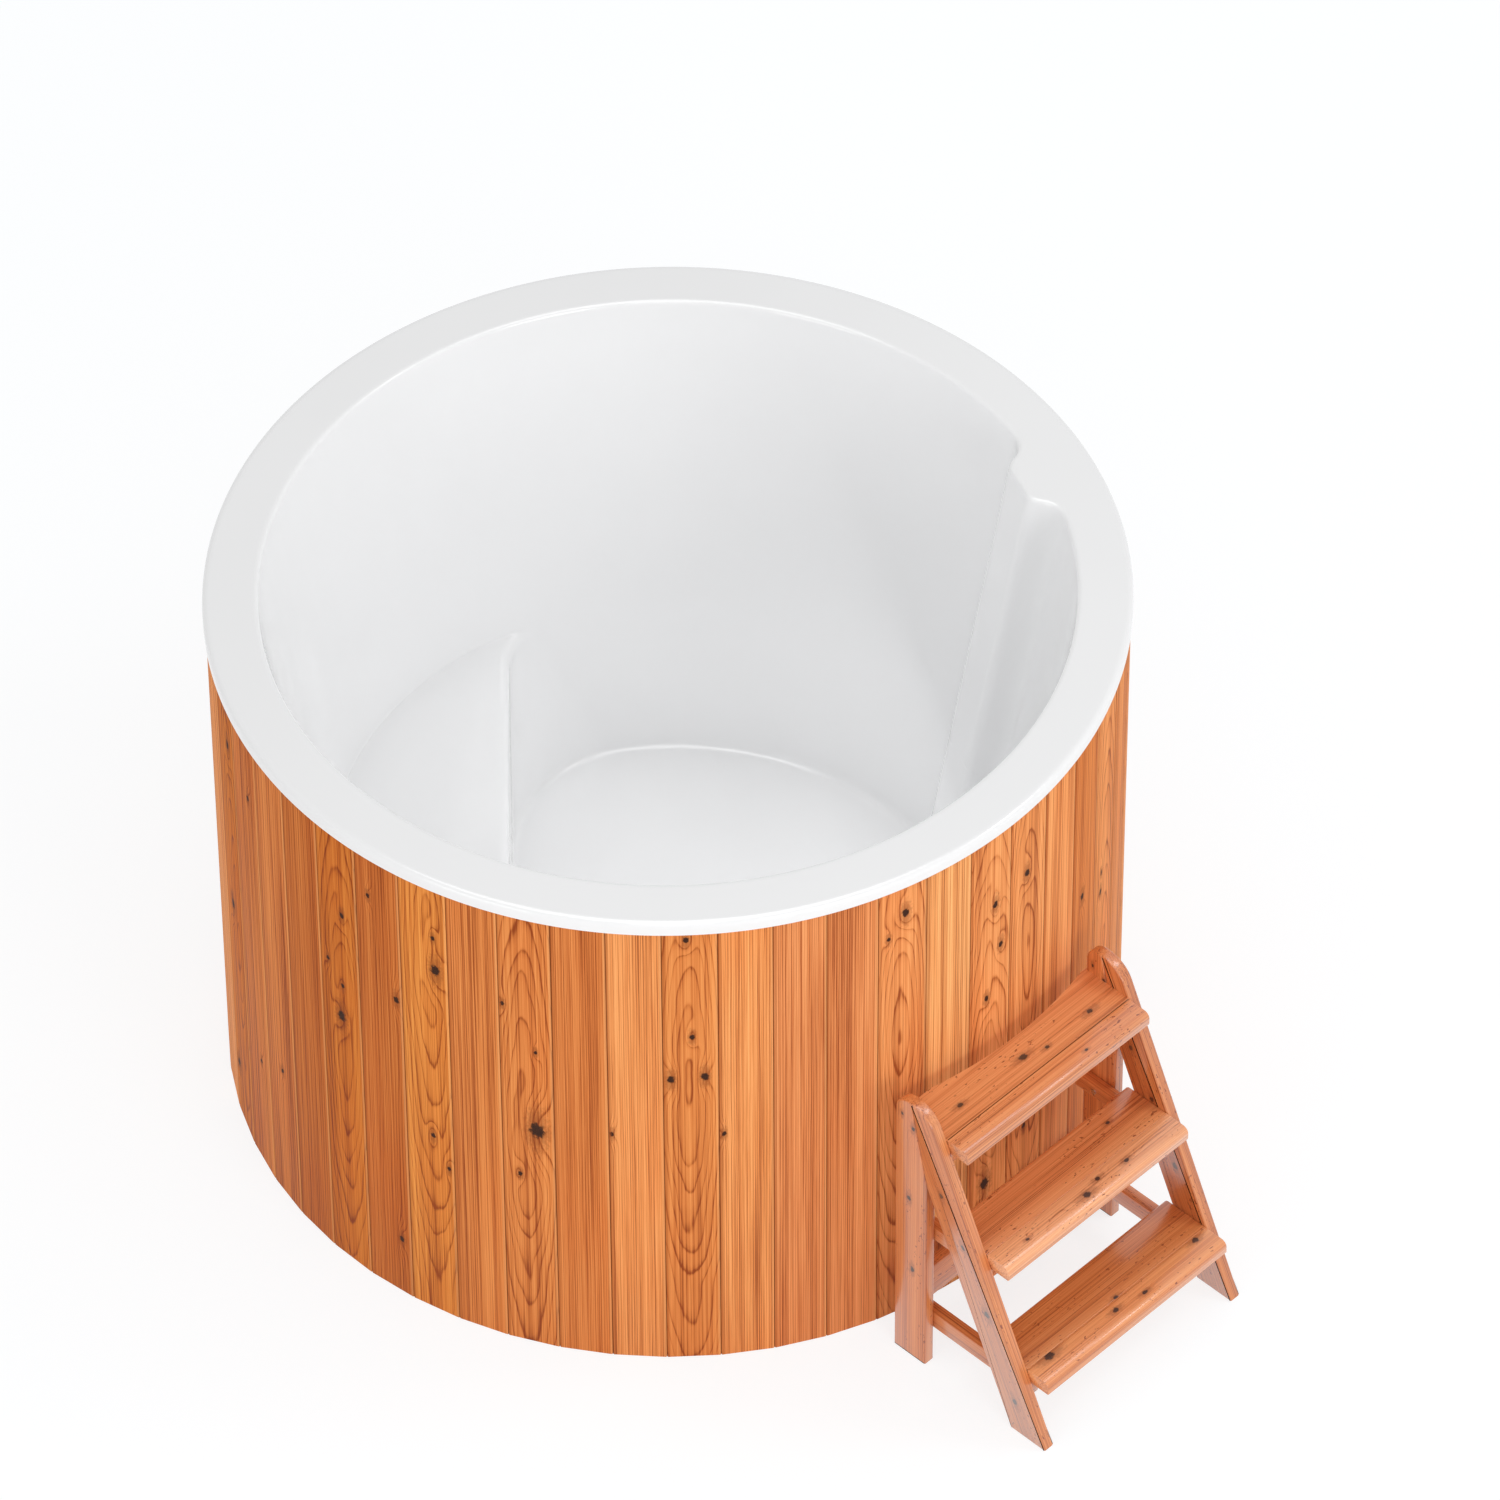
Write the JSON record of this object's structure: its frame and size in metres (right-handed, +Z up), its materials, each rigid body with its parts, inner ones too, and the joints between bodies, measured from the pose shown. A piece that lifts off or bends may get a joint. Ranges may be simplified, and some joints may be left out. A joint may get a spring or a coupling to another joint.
{
  "type": "cold plunge tub",
  "caption": "Round cold plunge tub: a white moulded liner with a seat and a rib, clad in upright wooden boards, with a drain valve at the back and wooden steps in front.",
  "frame": {"origin": "on the tub's vertical axis, at the ground", "axes": "+Z up along the tub's axis, -Y towards the steps, +Y towards the drain outlet"},
  "size_m": [1.6064, 2.1735, 1.107],
  "materials": {
    "gelcoat": "glossy moulded gel coat",
    "cladding_wood": "oiled softwood boards with knots",
    "leg_wood": "oiled softwood, satin",
    "tread_wood": "oiled softwood, satin",
    "frame_timber": "sawn",
    "plywood": "raw plywood",
    "foam": "rigid foam",
    "steel": "stainless, brushed",
    "rubber": "matte",
    "grey_plastic": "moulded pipe plastic",
    "seal_plastic": "smooth",
    "brass": "turned",
    "lever_plastic": "moulded"
  },
  "bodies": {
    "tub": {"liner": "gelcoat", "cladding_boards": "cladding_wood", "joists": "frame_timber", "joist_tie": "frame_timber", "studs": "frame_timber", "seat_rail": "frame_timber", "base_board": "plywood", "ring_bottom": "plywood", "ring_middle": "plywood", "ring_top": "plywood", "rim_ring": "plywood", "seat_gables": "plywood", "insulation_panels": "foam", "frame_screws": "steel", "drain_flange": "steel", "drain_strainer": "steel", "outlet_plate": "steel", "drain_gasket": "rubber", "drain_nut": "grey_plastic", "drain_sump": "grey_plastic", "drain_pipe": "grey_plastic", "pipe_clips": "grey_plastic", "valve_body": "grey_plastic", "outlet_spigot": "grey_plastic", "union_nuts": "grey_plastic", "valve_seats": "seal_plastic", "gland_nut": "brass"},
    "valve_handle": {"valve_ball": "steel", "valve_stem": "steel", "valve_lever": "lever_plastic", "lever_screw": "steel"},
    "steps": {"rear_leg_left": "leg_wood", "rear_leg_right": "leg_wood", "front_leg_left": "leg_wood", "front_leg_right": "leg_wood", "low_rails": "leg_wood", "mid_bearers": "leg_wood", "top_bearers": "leg_wood", "cross_rail": "leg_wood", "tread_low_board": "tread_wood", "tread_low_nosing": "tread_wood", "tread_mid_board": "tread_wood", "tread_mid_nosing": "tread_wood", "tread_top_board": "tread_wood", "tread_top_nosing": "tread_wood", "step_screws": "steel"}
  },
  "joints": [
    {"name": "valve_turn", "type": "hinge", "parent": "tub", "child": "valve_handle", "pos_m": [0, 0.895, 0.1], "axis": [0, 0, 1], "range_deg": [0, 90]},
    {"name": "steps_pull", "type": "slide", "parent": "tub", "child": "steps", "axis": [0, -1, 0], "range_m": [0, 0.5]}
  ]
}
